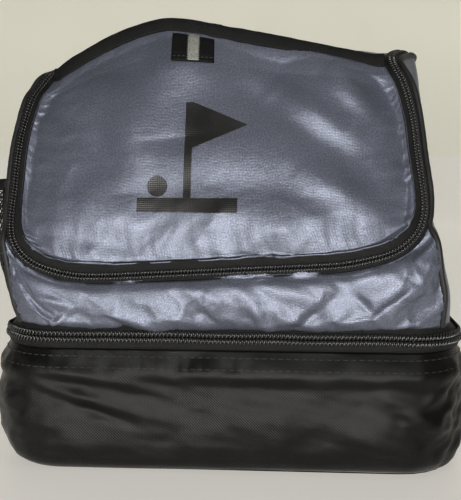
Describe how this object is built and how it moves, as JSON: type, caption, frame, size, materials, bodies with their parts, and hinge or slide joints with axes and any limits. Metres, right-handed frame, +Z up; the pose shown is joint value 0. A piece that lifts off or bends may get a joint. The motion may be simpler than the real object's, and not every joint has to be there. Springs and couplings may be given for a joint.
{
  "type": "golf shoe bag",
  "caption": "Soft two-compartment golf shoe bag: black zipped lower compartment, slate-grey upper compartment with a U-zipped lid, mesh side pocket and webbing handle.",
  "frame": {"origin": "centre of the bag's footprint, on its underside", "axes": "+X to the right seen from the front, the front faces -Y, +Z up"},
  "size_m": [0.3106, 0.1932, 0.2873],
  "materials": {
    "slate_nylon": "plain-woven nylon with a satin sheen",
    "black_twill": "matt twill-woven polyester",
    "black_lining": "thin woven lining",
    "black_binding": "grosgrain binding tape",
    "black_piping": "fabric-covered piping cord",
    "black_webbing": "woven nylon webbing",
    "black_mesh": "knitted mesh with open cells",
    "zip_tape": "woven zip tape",
    "zip_coil": "nylon coil",
    "zip_metal": "black enamelled zinc",
    "reflective_tape": "grey retroreflective ribbon",
    "black_print": "heat-transfer film",
    "stiffener_board": "fibre-reinforced board"
  },
  "bodies": {
    "lower": {"bottom_panel": "black_twill", "base_board": "stiffener_board", "lower_gusset": "black_twill", "lower_back_panel": "black_twill", "lower_lining": "black_lining", "lower_zip_tape": "zip_tape", "lower_zip_coil": "zip_coil", "lower_zip_stops": "zip_metal", "rear_hinge_tape": "black_binding"},
    "lower_slider": {"lower_zip_slider": "zip_metal"},
    "lower_pull": {"lower_zip_pull": "zip_metal"},
    "upper": {"divider_panel": "black_lining", "upper_zip_tape": "zip_tape", "upper_zip_coil": "zip_coil", "front_panel": "slate_nylon", "left_side_panel": "slate_nylon", "right_side_panel": "slate_nylon", "back_panel": "slate_nylon", "left_piping": "black_piping", "right_piping": "black_piping", "lid_hinge_tape": "black_binding", "mesh_pocket": "black_mesh", "pocket_binding": "black_binding", "lid_zip_outer_tape": "zip_tape", "lid_zip_outer_coil": "zip_coil", "lid_zip_stops": "zip_metal"},
    "lid": {"lid_panel": "slate_nylon", "lid_top_panel": "slate_nylon", "top_edge_binding": "black_binding", "lid_zip_inner_tape": "zip_tape", "lid_zip_inner_coil": "zip_coil", "webbing_tab": "black_webbing", "reflective_stripe": "reflective_tape", "printed_emblem": "black_print", "carry_handle": "black_webbing", "handle_patches": "black_webbing"},
    "lid_slider": {"lid_zip_slider": "zip_metal"},
    "lid_pull": {"lid_zip_pull": "zip_metal"}
  },
  "joints": [
    {"name": "upper_hinge", "type": "hinge", "parent": "lower", "child": "upper", "pos_m": [0, 0.0953, 0.0883], "axis": [-1, 0, 0], "range_deg": [0, 95]},
    {"name": "lid_hinge", "type": "hinge", "parent": "upper", "child": "lid", "pos_m": [0, 0.095, 0.262], "axis": [-1, 0, 0], "range_deg": [0, 120]},
    {"name": "lower_slide", "type": "slide", "parent": "lower", "child": "lower_slider", "axis": [0, -1, 0], "range_m": [0, 0.09]},
    {"name": "lower_pull_swing", "type": "hinge", "parent": "lower_slider", "child": "lower_pull", "pos_m": [0.1548, 0.0535, 0.0873], "axis": [0, -1, 0], "range_deg": [0, 150]},
    {"name": "lid_slide", "type": "slide", "parent": "upper", "child": "lid_slider", "axis": [0, -0.9913, 0.1317], "range_m": [0, 0.045]},
    {"name": "lid_pull_swing", "type": "hinge", "parent": "lid_slider", "child": "lid_pull", "pos_m": [0.12237, 0.06292, 0.2711], "axis": [-1, 0, 0], "range_deg": [0, 150]}
  ]
}
